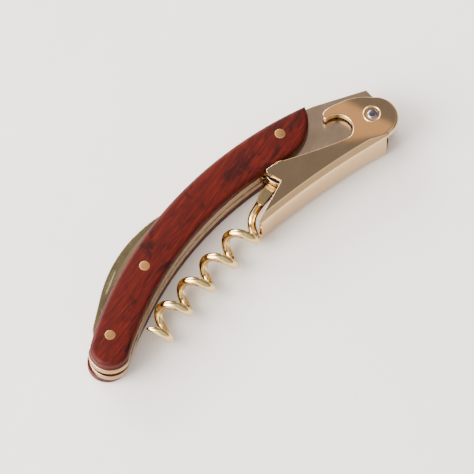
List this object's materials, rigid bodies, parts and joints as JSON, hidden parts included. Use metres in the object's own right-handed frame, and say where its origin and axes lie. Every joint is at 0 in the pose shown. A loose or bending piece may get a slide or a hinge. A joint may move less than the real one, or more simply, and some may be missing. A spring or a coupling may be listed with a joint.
{
  "type": "waiters corkscrew",
  "caption": "Curved folding corkscrew with wooden scales, a channel lever with a cap lifter, a wire worm and a short foil knife, closed.",
  "frame": {"origin": "centre of the bounding box in plan, at the lower scale's outer face", "axes": "+X along the handle from the knife's pivot end to the lever's pivot end, +Y towards the knife's side of the handle, +Z through the pack, out of the upper scale"},
  "size_m": [0.1168, 0.0307, 0.0123],
  "materials": {
    "upper_scale": "oiled rosewood, satin",
    "lower_scale": "oiled rosewood, satin",
    "upper_liner": "pale gold plating on steel sheet, polished",
    "lower_liner": "pale gold plating on steel sheet, polished",
    "back_spacer": "pale gold plating on steel sheet, polished",
    "belly_spring": "ground spring steel",
    "knife_pivot_pin": "peened and ground flush",
    "mid_rivet": "peened and ground flush",
    "head_rivet": "peened and ground flush",
    "worm_pivot_pin": "turned steel",
    "worm_hub": "pale gold plating, polished",
    "worm": "pale gold plating on steel wire, polished",
    "knife_blade": "polished steel with a warm tint",
    "lever_channel": "pale gold plating on folded steel sheet, polished",
    "lever_pivot_pin": "polished steel",
    "upper_pivot_bush": "pale gold plating, polished",
    "lower_pivot_bush": "pale gold plating, polished",
    "upper_pivot_washer": "pale gold plating",
    "lower_pivot_washer": "pale gold plating"
  },
  "bodies": {
    "handle": {"upper_scale": "upper_scale", "lower_scale": "lower_scale", "upper_liner": "upper_liner", "lower_liner": "lower_liner", "back_spacer": "back_spacer", "belly_spring": "belly_spring", "knife_pivot_pin": "knife_pivot_pin", "mid_rivet": "mid_rivet", "head_rivet": "head_rivet", "worm_pivot_pin": "worm_pivot_pin", "lever_pivot_pin": "lever_pivot_pin", "upper_pivot_washer": "upper_pivot_washer", "lower_pivot_washer": "lower_pivot_washer"},
    "lever": {"lever_channel": "lever_channel", "upper_pivot_bush": "upper_pivot_bush", "lower_pivot_bush": "lower_pivot_bush"},
    "knife": {"knife_blade": "knife_blade"},
    "worm": {"worm_hub": "worm_hub", "worm": "worm"}
  },
  "joints": [
    {"name": "lever_hinge", "type": "hinge", "parent": "handle", "child": "lever", "pos_m": [0.05185, -0.00462, 0.0061], "axis": [0, 0, 1], "range_deg": [0, 140]},
    {"name": "knife_hinge", "type": "hinge", "parent": "handle", "child": "knife", "pos_m": [-0.05015, -0.00542, 0.0061], "axis": [0, 0, 1], "range_deg": [0, 170]},
    {"name": "worm_hinge", "type": "hinge", "parent": "handle", "child": "worm", "pos_m": [0.02135, 0.00098, 0.0061], "axis": [0, 0, 1], "range_deg": [0, 92]}
  ],
  "couplings": [
    {"joint": "worm_hinge", "follows": "lever_hinge", "ratio": 0.65}
  ]
}
